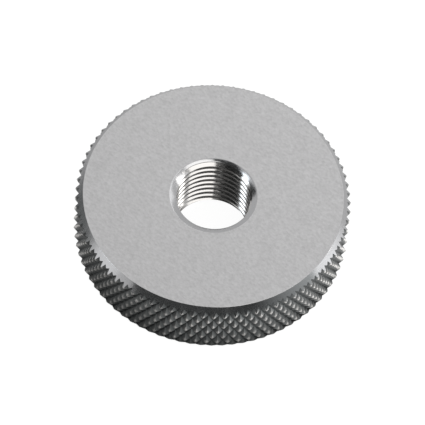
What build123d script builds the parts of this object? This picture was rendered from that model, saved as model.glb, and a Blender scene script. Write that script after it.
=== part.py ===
"""Knurled thread ring gauge: one turned steel ring with a fine parallel thread through it.

It lies on its lower face. The origin is the centre of that face and +Z is the thread's axis.
The bore has its size over the tops of the thread. Lengths are in millimetres, angles in degrees.
"""
from build123d import *
from math import ceil, cos, pi, radians, sin, tan
import os

# Ring
outside_diameter = 32.0       # over the tips of the knurl
thickness = 8.2
chamfer_width = 0.9           # how far each outer chamfer comes in from the tips of the knurl
chamfer_depth = 1.05          # how far it goes down the side

# Thread: parallel, 28 to the inch
thread_diameter = 9.728       # over the bottoms of the grooves
thread_depth = 0.581
mouth_step = 0.186            # from the groove bottoms out to the mouth of each countersink
mouth_angle = 120.0           # of the countersink's cone

# Knurl: raised diamonds between crossed V grooves
knurl_pitch = 1.257           # from tip to tip around the ring
knurl_depth = 0.48
knurl_angle = 30.0            # lean of each groove from the axis
knurl_lift = 0.8              # height above mid-thickness of the row with a tip at the front

outside_radius = outside_diameter / 2
face_radius = outside_radius - chamfer_width
bore_radius = thread_diameter / 2 - thread_depth
mouth_radius = thread_diameter / 2 + mouth_step
mouth_depth = (mouth_radius - bore_radius) / tan(radians(mouth_angle / 2))


def turned_ring():
    """The ring as it comes off the lathe: flat faces, outer chamfers and a countersunk bore."""
    section = Polyline(
        (bore_radius, mouth_depth),
        (mouth_radius, 0),
        (face_radius, 0),
        (outside_radius, chamfer_depth),
        (outside_radius, thickness - chamfer_depth),
        (face_radius, thickness),
        (mouth_radius, thickness),
        (bore_radius, thickness - mouth_depth),
        close=True,
    )
    return revolve(Plane.XZ * make_face(section), Axis.Z)


def knurled_bar():
    """A bar longer than the ring, with pointed diamonds all over its side."""
    teeth = round(pi * outside_diameter / knurl_pitch)
    row_height = outside_radius * pi / teeth / tan(radians(knurl_angle))
    front_row = thickness / 2 + knurl_lift
    rows_down = ceil(front_row / row_height)
    rows_up = ceil((thickness - front_row) / row_height)

    def corner(column, row):
        """A diamond's tip where column and row are both odd or both even, else a groove crossing."""
        radius = outside_radius - knurl_depth * ((column + row) % 2)
        turn = pi * column / teeth - pi / 2
        return (radius * cos(turn), radius * sin(turn), front_row + row * row_height)

    sides = []
    for row in range(-rows_down, rows_up):
        for column in range(2 * teeth):
            left, right = column, column + 1
            if (column + row) % 2:
                left, right = right, left
            tip_below, tip_above = corner(left, row), corner(right, row + 1)
            crossings = [corner(right, row), corner(left, row + 1)]
            sides.append(make_face(Polyline(tip_below, *crossings, close=True)))
            sides.append(make_face(Polyline(tip_above, *crossings, close=True)))
    ends = [
        make_face(Polyline(*[corner(column, row) for column in range(2 * teeth)], close=True))
        for row in (-rows_down, rows_up)
    ]
    return Solid(Shell([face.face() for face in sides + ends]))


ring_gauge = knurled_bar() & turned_ring()

os.makedirs("parts", exist_ok=True)
export_step(ring_gauge, "parts/ring_gauge.step")
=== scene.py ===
import bmesh
import bpy
from math import cos, pi, radians, sin, tan
from mathutils import Matrix, Vector


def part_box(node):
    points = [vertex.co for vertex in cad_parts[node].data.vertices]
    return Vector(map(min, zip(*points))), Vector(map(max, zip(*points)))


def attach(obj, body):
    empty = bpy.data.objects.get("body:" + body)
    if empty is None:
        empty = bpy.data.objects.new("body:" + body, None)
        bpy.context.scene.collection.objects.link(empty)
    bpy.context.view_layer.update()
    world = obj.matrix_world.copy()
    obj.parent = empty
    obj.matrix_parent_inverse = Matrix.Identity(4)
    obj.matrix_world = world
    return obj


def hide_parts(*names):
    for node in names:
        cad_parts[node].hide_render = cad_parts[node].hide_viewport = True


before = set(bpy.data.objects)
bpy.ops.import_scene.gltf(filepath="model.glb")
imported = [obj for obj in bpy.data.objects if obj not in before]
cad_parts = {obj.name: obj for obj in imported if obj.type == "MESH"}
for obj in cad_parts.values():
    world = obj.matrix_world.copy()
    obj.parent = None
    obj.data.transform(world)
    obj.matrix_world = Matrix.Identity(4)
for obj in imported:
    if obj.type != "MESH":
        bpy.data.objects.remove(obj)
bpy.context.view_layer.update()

# a thread ring gauge: lapped faces, turned chamfers, diamond knurl and ground thread
mm = 0.001
ringNode = "ring_gauge"
low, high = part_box(ringNode)
ringRadius = (high[0] - low[0]) / 2
ringThickness = high[2] - low[2]


def newMaterial(name):
    material = bpy.data.materials.new(name)
    material.use_nodes = True
    material.node_tree.nodes.clear()
    return material


def addNode(tree, kind, **values):
    # values whose names are sockets go on the sockets, the rest are the node's own settings
    node = tree.nodes.new(kind)
    for name, value in values.items():
        if hasattr(node, name):
            setattr(node, name, value)
        else:
            node.inputs[name].default_value = value
    return node


def link(tree, source, target):
    tree.links.new(source, target)


def mathStep(tree, operation, *inputs):
    node = addNode(tree, "ShaderNodeMath", operation=operation)
    for socket, value in zip(node.inputs, inputs):
        if isinstance(value, bpy.types.NodeSocket):
            link(tree, value, socket)
        else:
            socket.default_value = value
    return node.outputs[0]


def remap(tree, value, newLow, newHigh, oldLow=0.0, oldHigh=1.0):
    node = tree.nodes.new("ShaderNodeMapRange")
    link(tree, value, node.inputs["Value"])
    limits = {"From Min": oldLow, "From Max": oldHigh, "To Min": newLow, "To Max": newHigh}
    for label, number in limits.items():
        node.inputs[label].default_value = number
    return node.outputs[0]


def splitAxes(tree, vector):
    node = tree.nodes.new("ShaderNodeSeparateXYZ")
    link(tree, vector, node.inputs[0])
    return node.outputs


def blendColours(tree, factor, first, second):
    # either colour may be fixed or come from another node
    node = addNode(tree, "ShaderNodeMix", data_type="RGBA")
    link(tree, factor, node.inputs[0])
    for socket, colour in ((node.inputs[6], first), (node.inputs[7], second)):
        if isinstance(colour, bpy.types.NodeSocket):
            link(tree, colour, socket)
        else:
            socket.default_value = (*colour, 1)
    return node.outputs[2]


def endMaterial(material, shader):
    output = material.node_tree.nodes.new("ShaderNodeOutputMaterial")
    link(material.node_tree, shader.outputs[0], output.inputs["Surface"])
    return material


def makeObject(name, data):
    made = bpy.data.objects.new(name, data)
    bpy.context.scene.collection.objects.link(made)
    return made


grainTexture = dict(fineDetail=3.0, fineRoughness=0.6,
                    broadDetail=2.0, broadRoughness=0.5, broadShare=0.3)
grainSpan = (0.3, 0.7)  # the part of the grain's range that is used


def buildGrainGroup():
    # Grain is the fine speckle of worked steel, and Cloud is a broader and softer one
    group = bpy.data.node_groups.new("fineGrain", "ShaderNodeTree")
    group.interface.new_socket("Scale", in_out="INPUT", socket_type="NodeSocketFloat")
    group.interface.new_socket("Stretch", in_out="INPUT", socket_type="NodeSocketVector")
    group.interface.new_socket("Turn", in_out="INPUT", socket_type="NodeSocketFloat")
    group.interface.new_socket("Grain", in_out="OUTPUT", socket_type="NodeSocketFloat")
    group.interface.new_socket("Cloud", in_out="OUTPUT", socket_type="NodeSocketFloat")
    inside = group.nodes.new("NodeGroupInput")
    outside = group.nodes.new("NodeGroupOutput")
    place = group.nodes.new("ShaderNodeTexCoord")
    rotated = addNode(group, "ShaderNodeVectorRotate", rotation_type="Z_AXIS")
    link(group, place.outputs["Object"], rotated.inputs["Vector"])
    link(group, inside.outputs["Turn"], rotated.inputs["Angle"])
    stretched = addNode(group, "ShaderNodeVectorMath", operation="MULTIPLY")
    link(group, rotated.outputs[0], stretched.inputs[0])
    link(group, inside.outputs["Stretch"], stretched.inputs[1])
    fine = addNode(group, "ShaderNodeTexNoise", Detail=grainTexture["fineDetail"],
                   Roughness=grainTexture["fineRoughness"])
    link(group, stretched.outputs[0], fine.inputs["Vector"])
    link(group, inside.outputs["Scale"], fine.inputs["Scale"])
    broad = addNode(group, "ShaderNodeTexNoise", Detail=grainTexture["broadDetail"],
                    Roughness=grainTexture["broadRoughness"])
    broadScale = mathStep(group, "MULTIPLY", inside.outputs["Scale"], grainTexture["broadShare"])
    link(group, place.outputs["Object"], broad.inputs["Vector"])
    link(group, broadScale, broad.inputs["Scale"])
    link(group, fine.outputs[0], outside.inputs["Grain"])
    link(group, broad.outputs[0], outside.inputs["Cloud"])
    return group


fineGrain = buildGrainGroup()


def placeGrain(tree, scale, stretch=(1, 1, 1), turn=0.0):
    node = addNode(tree, "ShaderNodeGroup", node_tree=fineGrain)
    node.inputs["Scale"].default_value = scale
    node.inputs["Stretch"].default_value = stretch
    node.inputs["Turn"].default_value = turn
    return node.outputs


def addRoughness(tree, shader, grain, finish):
    rough = remap(tree, grain["Grain"], finish["roughLow"], finish["roughHigh"], *grainSpan)
    link(tree, rough, shader.inputs["Roughness"])


def addBump(tree, shader, height, finish):
    bump = addNode(tree, "ShaderNodeBump", Strength=finish["bumpStrength"], Distance=finish["bump"])
    link(tree, height, bump.inputs["Height"])
    link(tree, bump.outputs[0], shader.inputs["Normal"])


lapped = dict(dull=(0.41, 0.408, 0.41), bright=(0.60, 0.597, 0.603), roughLow=0.32, roughHigh=0.46,
              grain=3000, stretch=(0.75, 1.15, 1), turn=0.75, cloudShare=0.1, grainShare=0.9,
              bump=0.008 * mm, bumpStrength=0.5)


def buildLappedSteel():
    # flat faces: a fine even satin grain
    material = newMaterial("lappedSteel")
    tree = material.node_tree
    shader = addNode(tree, "ShaderNodeBsdfPrincipled", Metallic=1.0)
    grain = placeGrain(tree, lapped["grain"], lapped["stretch"], lapped["turn"])
    fine = mathStep(tree, "MULTIPLY", grain["Grain"], lapped["grainShare"])
    mixed = mathStep(tree, "MULTIPLY_ADD", grain["Cloud"], lapped["cloudShare"], fine)
    speckle = remap(tree, mixed, 0, 1, *grainSpan)
    shade = blendColours(tree, speckle, lapped["dull"], lapped["bright"])
    link(tree, shade, shader.inputs["Base Color"])
    addRoughness(tree, shader, grain, lapped)
    addBump(tree, shader, grain["Grain"], lapped)
    return endMaterial(material, shader)


turned = dict(colour=(0.62, 0.62, 0.63), roughLow=0.13, roughHigh=0.2, grain=900,
              linesPerMetre=14000, waver=6.0, bump=0.0012 * mm, bumpStrength=0.4)


def buildTurnedSteel():
    # chamfers and countersinks: faint turning lines round the axis
    material = newMaterial("turnedSteel")
    tree = material.node_tree
    shader = addNode(tree, "ShaderNodeBsdfPrincipled", Metallic=1.0)
    shader.inputs["Base Color"].default_value = (*turned["colour"], 1)
    grain = placeGrain(tree, turned["grain"])
    place = tree.nodes.new("ShaderNodeTexCoord")
    height = splitAxes(tree, place.outputs["Object"])[2]
    waver = mathStep(tree, "MULTIPLY", grain["Cloud"], turned["waver"])
    phase = mathStep(tree, "MULTIPLY_ADD", height, turned["linesPerMetre"] * 2 * pi, waver)
    addRoughness(tree, shader, grain, turned)
    addBump(tree, shader, mathStep(tree, "SINE", phase), turned)
    return endMaterial(material, shader)


# groove and flank colours are painted shade that darkens the knurl towards its root; tip is rubbed
# wear with a painted highlight
knurled = dict(groove=(0.125, 0.134, 0.136), flank=(0.31, 0.315, 0.31), tip=(0.72, 0.705, 0.685),
               tipStart=0.6, tipEnd=0.86, raggedShare=0.7, raggedLevel=0.35, grain=4000,
               roughGroove=0.28, roughTip=0.12, bump=0.01 * mm, bumpStrength=0.5)


def buildKnurledSteel(rootRadius, tipRadius):
    # painted shade darkens the grooves; the tips are rubbed bright by wear and carry a painted
    # highlight
    material = newMaterial("knurledSteel")
    tree = material.node_tree
    shader = addNode(tree, "ShaderNodeBsdfPrincipled", Metallic=1.0)
    grain = placeGrain(tree, knurled["grain"])
    place = tree.nodes.new("ShaderNodeTexCoord")
    flat = addNode(tree, "ShaderNodeVectorMath", operation="MULTIPLY")
    link(tree, place.outputs["Object"], flat.inputs[0])
    flat.inputs[1].default_value = (1, 1, 0)
    radius = addNode(tree, "ShaderNodeVectorMath", operation="LENGTH")
    link(tree, flat.outputs[0], radius.inputs[0])
    height = remap(tree, radius.outputs["Value"], 0, 1, rootRadius, tipRadius)
    lowered = mathStep(tree, "SUBTRACT", height, knurled["raggedLevel"])
    ragged = mathStep(tree, "MULTIPLY_ADD", grain["Grain"], knurled["raggedShare"], lowered)
    # the tip mask: real wear on the tips, and a painted highlight
    wearAndHighlight = remap(tree, ragged, 0, 1, knurled["tipStart"], knurled["tipEnd"])
    # painted shade: the colour darkens from flank to groove, deeper in the knurl
    grooveShade = blendColours(tree, height, knurled["groove"], knurled["flank"])
    link(tree, blendColours(tree, wearAndHighlight, grooveShade, knurled["tip"]), shader.inputs["Base Color"])
    rough = remap(tree, wearAndHighlight, knurled["roughGroove"], knurled["roughTip"])
    link(tree, rough, shader.inputs["Roughness"])
    addBump(tree, shader, grain["Grain"], knurled)
    return endMaterial(material, shader)


threaded = dict(colour=(0.66, 0.65, 0.64), roughLow=0.08, roughHigh=0.16,
                grain=2500, stretch=(1, 1, 4))


def buildThreadSteel():
    # ground flanks of the thread
    material = newMaterial("threadSteel")
    tree = material.node_tree
    shader = addNode(tree, "ShaderNodeBsdfPrincipled", Metallic=1.0)
    shader.inputs["Base Color"].default_value = (*threaded["colour"], 1)
    grain = placeGrain(tree, threaded["grain"], threaded["stretch"])
    addRoughness(tree, shader, grain, threaded)
    return endMaterial(material, shader)


ring = dict(chamferWidth=0.9 * mm, chamferDepth=1.05 * mm, mouthBreak=0.05 * mm, rimBreak=0.012 * mm,
            rimShare=0.6, spare=0.5 * mm, pilotRadius=3.9 * mm, segments=320,
            joinWithin=0.0002 * mm, crispAngles=(12, 18, 28, 28))  # lapped, turned, knurled, thread


def buildTurnedRing(lappedSteel, turnedSteel):
    # the section is turned round the axis; each edge says which finish the band it makes has
    faceRadius = ringRadius - ring["chamferWidth"]
    outer = ringRadius + ring["spare"]
    lean = ring["chamferWidth"] / ring["chamferDepth"]
    sink = (mouthRadius - ring["pilotRadius"]) / tan(radians(thread["mouthAngle"] / 2))
    sinkSlope = 1 / tan(radians(thread["mouthAngle"] / 2))
    mouthBreak = ring["mouthBreak"]
    rimBreak = ring["rimBreak"]
    rimDrop = rimBreak * ring["rimShare"]
    half = [  # from the bore out: radius, depth below the face, finish (0 lapped, 1 turned)
        (ring["pilotRadius"], sink, 1),
        (mouthRadius - mouthBreak, mouthBreak * sinkSlope, 1),
        (mouthRadius + mouthBreak, 0, 0),
        (faceRadius - rimBreak, 0, 1),
        (faceRadius + rimDrop, rimDrop / lean, 1),
        (outer, (outer - faceRadius) / lean, 1),
    ]
    section = [(radius, ringThickness - depth, finish) for radius, depth, finish in half]
    section += [(half[i][0], half[i][1], half[i - 1][2]) for i in range(len(half) - 1, -1, -1)]
    work = bmesh.new()
    count = ring["segments"]
    hoops = []
    for step in range(count):
        turn = 2 * pi * step / count
        hoops.append([work.verts.new((r * cos(turn), r * sin(turn), z)) for r, z, _ in section])
    for step in range(count):
        here, there = hoops[step], hoops[(step + 1) % count]
        for i, (_, _, finish) in enumerate(section):
            j = (i + 1) % len(section)
            face = work.faces.new((here[i], here[j], there[j], there[i]))
            face.material_index = finish
    bmesh.ops.recalc_face_normals(work, faces=work.faces)
    mesh = bpy.data.meshes.new("turnedRing")
    work.to_mesh(mesh)
    work.free()
    mesh.materials.append(lappedSteel)
    mesh.materials.append(turnedSteel)
    return mesh


# the knurled bar and the thread plug are both made as closed bars
bar = dict(mergeWithin=0.001 * mm, closeWithin=0.0005 * mm, endShare=0.01)


def newGeometryTree(name, sizes, counts):
    # named inputs: sizes are numbers, counts are whole numbers, and the last is the finish
    tree = bpy.data.node_groups.new(name, "GeometryNodeTree")
    for label in sizes:
        tree.interface.new_socket(label, in_out="INPUT", socket_type="NodeSocketFloat")
    for label in counts:
        tree.interface.new_socket(label, in_out="INPUT", socket_type="NodeSocketInt")
    tree.interface.new_socket("Finish", in_out="INPUT", socket_type="NodeSocketMaterial")
    tree.interface.new_socket("Geometry", in_out="OUTPUT", socket_type="NodeSocketGeometry")
    return tree


def closeOnAxis(tree, radius, across, halfWidth):
    # the first and last rows of a grid drop to the axis, so the bar it makes has closed ends
    edge = mathStep(tree, "SUBTRACT", halfWidth, bar["endShare"])
    inside = mathStep(tree, "LESS_THAN", mathStep(tree, "ABSOLUTE", across), edge)
    return mathStep(tree, "MULTIPLY", radius, inside)


def wrapGrid(tree, grid, radius, turn, height, finish):
    # bends the grid round the axis, sews it up and gives it its finish
    place = tree.nodes.new("ShaderNodeCombineXYZ")
    link(tree, mathStep(tree, "MULTIPLY", radius, mathStep(tree, "COSINE", turn)), place.inputs[0])
    link(tree, mathStep(tree, "MULTIPLY", radius, mathStep(tree, "SINE", turn)), place.inputs[1])
    link(tree, height, place.inputs[2])
    move = tree.nodes.new("GeometryNodeSetPosition")
    link(tree, grid.outputs["Mesh"], move.inputs["Geometry"])
    link(tree, place.outputs[0], move.inputs["Position"])
    merge = addNode(tree, "GeometryNodeMergeByDistance", Distance=bar["mergeWithin"])
    link(tree, move.outputs[0], merge.inputs["Geometry"])
    cut = tree.nodes.new("GeometryNodeTriangulate")
    link(tree, merge.outputs[0], cut.inputs[0])
    real = tree.nodes.new("GeometryNodeRealizeInstances")
    link(tree, cut.outputs[0], real.inputs[0])
    dress = tree.nodes.new("GeometryNodeSetMaterial")
    link(tree, real.outputs[0], dress.inputs["Geometry"])
    link(tree, finish, dress.inputs["Material"])
    link(tree, dress.outputs[0], tree.nodes.new("NodeGroupOutput").inputs[0])
    return tree


def bakeTree(name, tree, values):
    # runs a geometry tree on an empty mesh and keeps the result as plain mesh data
    holder = makeObject(name, bpy.data.meshes.new(name + "Start"))
    modifier = holder.modifiers.new(name, "NODES")
    modifier.node_group = tree
    for item in tree.interface.items_tree:
        if item.in_out == "INPUT" and item.name in values:
            modifier[item.identifier] = values[item.name]
    mesh = evaluatedMesh(name, holder)
    holder.modifiers.clear()
    bpy.data.objects.remove(holder)
    return mesh


def evaluatedMesh(name, made):
    graph = bpy.context.evaluated_depsgraph_get()
    mesh = bpy.data.meshes.new_from_object(made.evaluated_get(graph))
    mesh.name = name
    return mesh


def joinClosePoints(work, within):
    bmesh.ops.remove_doubles(work, verts=work.verts, dist=within)
    bmesh.ops.dissolve_degenerate(work, edges=work.edges, dist=within)


def closeEnds(mesh):
    work = bmesh.new()
    work.from_mesh(mesh)
    joinClosePoints(work, bar["closeWithin"])
    edges = [edge for edge in work.edges if edge.is_boundary]
    bmesh.ops.holes_fill(work, edges=edges, sides=0)
    bmesh.ops.recalc_face_normals(work, faces=work.faces)
    openCount = sum(edge.is_boundary for edge in work.edges)
    work.to_mesh(mesh)
    work.free()
    print(mesh.name, "made,", len(mesh.polygons), "faces,", openCount, "open edges")


knurl = dict(pitch=1.257 * mm, depth=0.48 * mm, angle=30.0, lift=0.8 * mm, cellSteps=6,
             ridgeRounding=0.05, tipLevel=0.9, tipRounding=0.08)


def buildKnurlTree():
    # one grid unit is half a tooth round and one row up; crossed triangle waves raise the diamonds
    tree = newGeometryTree(
        "knurlPattern",
        sizes=["Tip Radius", "Depth", "Row Height", "Front Row Z",
               "Ridge Rounding", "Tip Level", "Tip Rounding"],
        counts=["Teeth", "Rows", "Lowest Row", "Cell Steps"])
    given = tree.nodes.new("NodeGroupInput").outputs
    half = mathStep(tree, "MULTIPLY", given["Teeth"], 2.0)
    grid = tree.nodes.new("GeometryNodeMeshGrid")
    link(tree, half, grid.inputs["Size X"])
    link(tree, given["Rows"], grid.inputs["Size Y"])
    acrossCount = mathStep(tree, "MULTIPLY_ADD", half, given["Cell Steps"], 1.0)
    upCount = mathStep(tree, "MULTIPLY_ADD", given["Rows"], given["Cell Steps"], 1.0)
    link(tree, acrossCount, grid.inputs["Vertices X"])
    link(tree, upCount, grid.inputs["Vertices Y"])
    column, across, _ = splitAxes(tree, tree.nodes.new("GeometryNodeInputPosition").outputs[0])
    halfRows = mathStep(tree, "DIVIDE", given["Rows"], 2.0)
    row = mathStep(tree, "ADD", mathStep(tree, "ADD", across, halfRows), given["Lowest Row"])

    def wave(operation):
        slant = mathStep(tree, "MULTIPLY", mathStep(tree, operation, column, row), 0.5)
        fall = mathStep(tree, "MULTIPLY", 2.0, mathStep(tree, "PINGPONG", slant, 0.5))
        return mathStep(tree, "SUBTRACT", 1.0, fall)

    ridge = mathStep(tree, "SMOOTH_MIN", wave("ADD"), wave("SUBTRACT"), given["Ridge Rounding"])
    blunt = mathStep(tree, "SMOOTH_MIN", ridge, given["Tip Level"], given["Tip Rounding"])
    share = mathStep(tree, "DIVIDE", blunt, given["Tip Level"])
    root = mathStep(tree, "SUBTRACT", given["Tip Radius"], given["Depth"])
    radius = mathStep(tree, "MULTIPLY_ADD", share, given["Depth"], root)
    radius = closeOnAxis(tree, radius, across, halfRows)
    turn = mathStep(tree, "DIVIDE", mathStep(tree, "MULTIPLY", column, pi), given["Teeth"])
    turn = mathStep(tree, "SUBTRACT", turn, pi / 2)  # a row of tips faces the front
    height = mathStep(tree, "MULTIPLY_ADD", row, given["Row Height"], given["Front Row Z"])
    return wrapGrid(tree, grid, radius, turn, height, given["Finish"])


def buildKnurledBar(knurledSteel):
    teeth = round(2 * pi * ringRadius / knurl["pitch"])
    rowHeight = pi * ringRadius / teeth / tan(radians(knurl["angle"]))
    frontRow = ringThickness / 2 + knurl["lift"]
    rowsDown = int(frontRow / rowHeight) + 1
    rowsUp = int((ringThickness - frontRow) / rowHeight) + 1
    mesh = bakeTree("knurledBar", buildKnurlTree(), {
        "Tip Radius": ringRadius, "Depth": knurl["depth"],
        "Row Height": rowHeight, "Front Row Z": frontRow,
        "Ridge Rounding": knurl["ridgeRounding"],
        "Tip Level": knurl["tipLevel"], "Tip Rounding": knurl["tipRounding"],
        "Teeth": teeth, "Rows": rowsDown + rowsUp, "Lowest Row": -rowsDown,
        "Cell Steps": knurl["cellSteps"], "Finish": knurledSteel})
    closeEnds(mesh)
    return makeObject("knurledBar", mesh)


thread = dict(diameter=9.728 * mm, depth=0.581 * mm, pitch=0.907 * mm, angle=55.0,
              mouthStep=0.186 * mm, mouthAngle=120.0, crestShare=0.36, rootShare=0.1,
              rounding=0.03 * mm, startTurn=0.0, columns=144, profileSteps=16,
              turnsBelow=2, spareTurns=4)
threadRadius = thread["diameter"] / 2
mouthRadius = threadRadius + thread["mouthStep"]


def buildThreadTree():
    # a plug with the thread's form: each column of the grid climbs one pitch in a full turn
    tree = newGeometryTree(
        "threadForm",
        sizes=["Crest Radius", "Depth", "Pitch", "Crest Share", "Wave Height",
               "Lowest Z", "Start Turn", "Rounding"],
        counts=["Turns", "Columns", "Profile Steps"])
    given = tree.nodes.new("NodeGroupInput").outputs
    grid = addNode(tree, "GeometryNodeMeshGrid", **{"Size X": 1.0})
    link(tree, given["Turns"], grid.inputs["Size Y"])
    upCount = mathStep(tree, "MULTIPLY_ADD", given["Turns"], given["Profile Steps"], 1.0)
    link(tree, mathStep(tree, "ADD", given["Columns"], 1.0), grid.inputs["Vertices X"])
    link(tree, upCount, grid.inputs["Vertices Y"])
    sideways, across, _ = splitAxes(tree, tree.nodes.new("GeometryNodeInputPosition").outputs[0])
    around = mathStep(tree, "ADD", sideways, 0.5)
    halfTurns = mathStep(tree, "DIVIDE", given["Turns"], 2.0)
    along = mathStep(tree, "ADD", across, halfTurns)
    wave = mathStep(tree, "PINGPONG", along, 0.5)
    wave = mathStep(tree, "MULTIPLY", wave, 2.0)  # 0 on a ridge, 1 in a groove
    raised = mathStep(tree, "SUBTRACT", wave, given["Crest Share"])
    raised = mathStep(tree, "MULTIPLY", raised, given["Wave Height"])
    topped = mathStep(tree, "SMOOTH_MIN", raised, given["Depth"], given["Rounding"])
    formed = mathStep(tree, "SMOOTH_MAX", topped, 0.0, given["Rounding"])
    radius = mathStep(tree, "ADD", given["Crest Radius"], formed)
    radius = closeOnAxis(tree, radius, across, halfTurns)
    turn = mathStep(tree, "MULTIPLY", mathStep(tree, "ADD", around, given["Start Turn"]), 2 * pi)
    climbed = mathStep(tree, "ADD", along, around)
    height = mathStep(tree, "MULTIPLY_ADD", climbed, given["Pitch"], given["Lowest Z"])
    return wrapGrid(tree, grid, radius, turn, height, given["Finish"])


def buildThreadPlug(threadSteel):
    waveHeight = thread["pitch"] / 2 / tan(radians(thread["angle"] / 2))
    mesh = bakeTree("threadPlug", buildThreadTree(), {
        "Crest Radius": threadRadius - thread["depth"], "Pitch": thread["pitch"],
        "Depth": waveHeight * (1 - thread["crestShare"] - thread["rootShare"]),
        "Crest Share": thread["crestShare"], "Wave Height": waveHeight,
        "Lowest Z": -thread["turnsBelow"] * thread["pitch"],
        "Start Turn": thread["startTurn"], "Rounding": thread["rounding"],
        "Turns": int(ringThickness / thread["pitch"]) + thread["spareTurns"],
        "Columns": thread["columns"], "Profile Steps": thread["profileSteps"],
        "Finish": threadSteel})
    closeEnds(mesh)
    return makeObject("threadPlug", mesh)


def cutWith(target, tool, operation):
    modifier = target.modifiers.new(operation, "BOOLEAN")
    modifier.operation = operation
    modifier.solver = "EXACT"
    modifier.material_mode = "TRANSFER"
    modifier.object = tool


def sharpenEdges(work):
    # machined faces keep crisp edges, and the knurl and thread are smooth over their small steps
    limits = [radians(angle) for angle in ring["crispAngles"]]
    for face in work.faces:
        face.smooth = True
    for edge in work.edges:
        if len(edge.link_faces) == 2:
            here, there = edge.link_faces
            sameFinish = here.material_index == there.material_index
            edge.smooth = sameFinish and edge.calc_face_angle(0) < limits[here.material_index]


def buildRing():
    # a turned blank, cut by the knurled bar outside and the thread plug inside
    blank = makeObject("blank", buildTurnedRing(buildLappedSteel(), buildTurnedSteel()))
    knurledBar = buildKnurledBar(buildKnurledSteel(ringRadius - knurl["depth"], ringRadius))
    threadPlug = buildThreadPlug(buildThreadSteel())
    cutWith(blank, knurledBar, "INTERSECT")
    cutWith(blank, threadPlug, "DIFFERENCE")
    mesh = evaluatedMesh("ringGauge", blank)
    for used in (blank, knurledBar, threadPlug):
        bpy.data.objects.remove(used)
    work = bmesh.new()
    work.from_mesh(mesh)
    joinClosePoints(work, ring["joinWithin"])
    bmesh.ops.triangulate(work, faces=[face for face in work.faces if len(face.verts) > 4])
    sharpenEdges(work)
    badCount = sum(not edge.is_manifold for edge in work.edges)
    volume = work.calc_volume() / mm ** 3
    print("ring cut,", len(work.faces), "faces,", badCount, "bad edges,", round(volume), "cubic mm")
    work.to_mesh(mesh)
    work.free()
    piece = makeObject("ringGauge", mesh)
    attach(piece, "root")
    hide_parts(ringNode)
    print("finishes:", ", ".join(material.name for material in mesh.materials))


camera = dict(elevation=57.661, distance=640 * mm, lens=469.19, sensor=36.0,
              roll=-4.949, tilt=0.1783, pan=-0.0053, clipStart=0.01, clipEnd=10)  # angles in degrees


def buildCamera():
    lookAt = Vector((0, 0, ringThickness))
    rise = radians(camera["elevation"])
    back = Vector((0, -cos(rise), sin(rise)))
    up = Vector((0, sin(rise), cos(rise)))
    facing = Matrix((Vector((1, 0, 0)), up, back)).transposed()
    pan = Matrix.Rotation(radians(camera["pan"]), 3, "Y")
    tilt = Matrix.Rotation(-radians(camera["tilt"]), 3, "X")
    roll = Matrix.Rotation(-radians(camera["roll"]), 3, "Z")
    data = bpy.data.cameras.new("camera")
    data.lens = camera["lens"]
    data.sensor_width = camera["sensor"]
    data.clip_start = camera["clipStart"]
    data.clip_end = camera["clipEnd"]
    made = makeObject("camera", data)
    stand = Matrix.Translation(lookAt + back * camera["distance"])
    made.matrix_world = stand @ (facing @ (pan @ tilt @ roll)).to_4x4()
    bpy.context.scene.camera = made
    print("camera made")


floor = dict(
    colour=(0.18, 0.18, 0.18), roughness=0.9, halfSize=3.0,
    toCamera=0.94,  # glow that the camera sees; the rest is what the steel mirrors, in metres
    open=0.45, openCentre=(-0.03, -0.012, 0), openFrom=0.015, openTo=0.046,
    near=1.3, nearLeast=0.09, nearCentre=(-0.0132, -0.0251, 0), nearFrom=0.010, nearTo=0.038,
    nearEdge=(0.0265, 0.0315), nearBack=(-0.001, 0.009),  # where the open floor takes over
    contact=(0.0158, 0.0198),  # painted contact shadow in the reflected glow where the ring stands
    bore=0.75, boreLeast=0.05, boreSide=(0.0014, 0.0023), boreRight=(0.0024, 0.0028),
    boreBack=(0.0012, 0.002), boreEdge=(0.006, 0.009))  # light that comes up through the bore


def addFloorGlow(tree, shader):
    # the camera sees a white floor; reflections see a weaker one, shaded near and under the ring
    place = tree.nodes.new("ShaderNodeTexCoord").outputs["Object"]
    x, y, _ = splitAxes(tree, place)

    def apart(point):
        measure = addNode(tree, "ShaderNodeVectorMath", operation="DISTANCE")
        link(tree, place, measure.inputs[0])
        measure.inputs[1].default_value = point
        return measure.outputs["Value"]

    def fadeOut(value, limits):
        return remap(tree, value, 1.0, 0.0, *limits)

    def both(first, second):
        return mathStep(tree, "MULTIPLY", first, second)

    spread = apart((0, 0, 0))
    # painted shade in the reflected glow: darker round points to the front left of the ring
    openFloor = remap(tree, apart(floor["openCentre"]), 0.0, floor["open"],
                      floor["openFrom"], floor["openTo"])
    nearFloor = remap(tree, apart(floor["nearCentre"]), floor["nearLeast"], floor["near"],
                      floor["nearFrom"], floor["nearTo"])
    blend = addNode(tree, "ShaderNodeMix", data_type="FLOAT")
    isNear = both(fadeOut(spread, floor["nearEdge"]), fadeOut(y, floor["nearBack"]))
    link(tree, isNear, blend.inputs[0])
    link(tree, openFloor, blend.inputs[2])
    link(tree, nearFloor, blend.inputs[3])
    # painted contact shadow: the reflected glow fades out round the ring's foot
    outside = both(blend.outputs[0], remap(tree, spread, 0.0, 1.0, *floor["contact"]))

    sideways = remap(tree, mathStep(tree, "ABSOLUTE", x), 0.0, floor["bore"], *floor["boreSide"])
    sideways = both(sideways, fadeOut(x, floor["boreRight"]))
    behind = remap(tree, y, 0.0, 1.0, *floor["boreBack"])
    boreFloor = mathStep(tree, "MULTIPLY_ADD", sideways, behind, floor["boreLeast"])
    inBore = both(boreFloor, fadeOut(spread, floor["boreEdge"]))

    ray = tree.nodes.new("ShaderNodeLightPath").outputs
    mirrored = mathStep(tree, "MAXIMUM", ray["Is Glossy Ray"], ray["Is Transmission Ray"])
    reflected = both(mirrored, mathStep(tree, "ADD", outside, inBore))
    strength = mathStep(tree, "MULTIPLY_ADD", ray["Is Camera Ray"], floor["toCamera"], reflected)
    link(tree, strength, shader.inputs["Emission Strength"])


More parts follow.
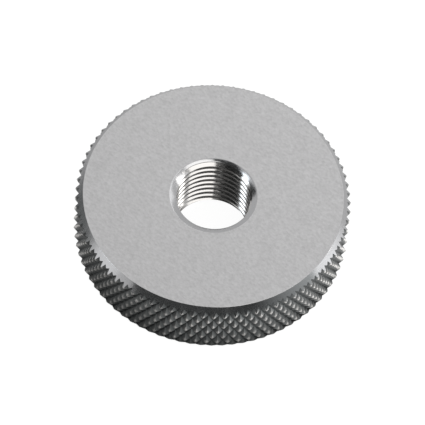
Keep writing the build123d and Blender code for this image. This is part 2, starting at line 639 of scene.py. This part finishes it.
def addMattShader(tree, colour, roughness, glowColour):
    shader = addNode(tree, "ShaderNodeBsdfPrincipled", Roughness=roughness)
    shader.inputs["Base Color"].default_value = (*colour, 1)
    shader.inputs["Emission Color"].default_value = (*glowColour, 1)
    shader.inputs["Specular IOR Level"].default_value = 0.0
    return shader


def buildFloor():
    material = newMaterial("paleFloor")
    tree = material.node_tree
    shader = addMattShader(tree, floor["colour"], floor["roughness"], (1, 1, 1))
    addFloorGlow(tree, shader)
    endMaterial(material, shader)
    side = floor["halfSize"]
    corners = [(-side, -side, 0), (side, -side, 0), (side, side, 0), (-side, side, 0)]
    mesh = bpy.data.meshes.new("floor")
    mesh.from_pydata(corners, [], [(0, 1, 2, 3)])
    mesh.materials.append(material)
    makeObject("floor", mesh)


worldGrey = 0.57  # what the ring mirrors; the camera sees plain white


def buildWorld():
    world = bpy.data.worlds.new("studioWorld")
    world.use_nodes = True
    tree = world.node_tree
    tree.nodes.clear()
    plain = addNode(tree, "ShaderNodeBackground", Color=(1, 1, 1, 1))
    ray = tree.nodes.new("ShaderNodeLightPath").outputs
    strength = mathStep(tree, "MULTIPLY_ADD", ray["Is Camera Ray"], 1 - worldGrey, worldGrey)
    link(tree, strength, plain.inputs["Strength"])
    output = tree.nodes.new("ShaderNodeOutputWorld")
    link(tree, plain.outputs[0], output.inputs["Surface"])
    bpy.context.scene.world = world


lamps = [  # azimuth from the front towards +X, elevation, distance, width, height, brightness, colour
    ("backSoftbox", 160, 50, 0.3, 0.28, 0.22, 0.62, (1, 1, 1)),
    ("rightLow", 94, 5, 0.6, 0.40, 0.14, 0.72, (0.98, 0.99, 1)),
    ("rightHigh", 45, 60, 0.6, 0.50, 0.32, 0.95, (1, 0.98, 0.95)),
    ("rightKey", 101, 39, 0.6, 0.16, 0.18, 2.5, (1, 0.98, 0.95)),
    ("leftLow", -73, 12, 0.6, 0.22, 0.12, 0.35, (0.97, 0.99, 1)),
    ("leftHigh", -87, 49, 0.6, 0.13, 0.14, 2.1, (0.86, 0.94, 1)),
]


def directionTo(azimuth, elevation):
    a, e = radians(azimuth), radians(elevation)
    return sin(a) * cos(e), -cos(a) * cos(e), sin(e)


def addLamp(name, azimuth, elevation, distance, width, height, brightness, colour):
    back = Vector(directionTo(azimuth, elevation))
    facing = back.to_track_quat("Z", "Y").to_matrix()
    data = bpy.data.lights.new(name, "AREA")
    data.shape = "RECTANGLE"
    data.size = width
    data.size_y = height
    data.energy = brightness * width * height * pi
    data.color = colour
    made = makeObject(name, data)
    made.visible_camera = False
    made.matrix_world = Matrix.Translation(back * distance) @ facing.to_4x4()


cards = [  # azimuth from and to, lowest and highest elevation, distance, brightness at each end
    ("frontCard", -50, 35, -10, 32, 0.4, 0.055, 0.05),
    ("frontRightCard", 35, 78, -10, 30, 0.4, 0.05, 0.5),
    ("leftFrontCard", -78, -15, 48, 78, 0.4, 0.02, 0.02),
    ("frontHighCard", -16, 11, 66.1, 80, 0.4, 0.02, 0.02),
    ("leftBackCard", -150, -80.5, 1, 14, 0.052, 0.12, 0.15),
    ("leftBackHighCard", -124, -96, 30, 46, 0.4, 0.03, 0.03),
]
cardColour = (0.96, 1, 1)
cardSteps = 12


def addCard(name, fromAzimuth, toAzimuth, lowest, highest, distance, fromShade, toShade):
    # a curved dark card that only reflections see
    points = []
    shades = []
    for step in range(cardSteps + 1):
        share = step / cardSteps
        azimuth = fromAzimuth + (toAzimuth - fromAzimuth) * share
        for elevation in (lowest, highest):
            points.append([distance * part for part in directionTo(azimuth, elevation)])
            shades.append(fromShade + (toShade - fromShade) * share)
    quads = [(2 * i, 2 * i + 2, 2 * i + 3, 2 * i + 1) for i in range(cardSteps)]
    mesh = bpy.data.meshes.new(name)
    mesh.from_pydata(points, [], quads)
    mesh.attributes.new("shade", "FLOAT", "POINT").data.foreach_set("value", shades)
    material = newMaterial(name)
    tree = material.node_tree
    shader = addMattShader(tree, (0, 0, 0), 1.0, cardColour)
    shade = addNode(tree, "ShaderNodeAttribute", attribute_name="shade")
    link(tree, shade.outputs["Fac"], shader.inputs["Emission Strength"])
    mesh.materials.append(endMaterial(material, shader))
    made = makeObject(name, mesh)
    made.visible_camera = False
    made.visible_shadow = False
    made.visible_diffuse = False


def buildStudio():
    buildFloor()
    buildWorld()
    for lamp in lamps:
        addLamp(*lamp)
    for card in cards:
        addCard(*card)
    print("studio made,", len(lamps), "lamps and", len(cards), "cards")


buildRing()
buildCamera()
buildStudio()
bpy.context.scene.view_settings.view_transform = "Standard"
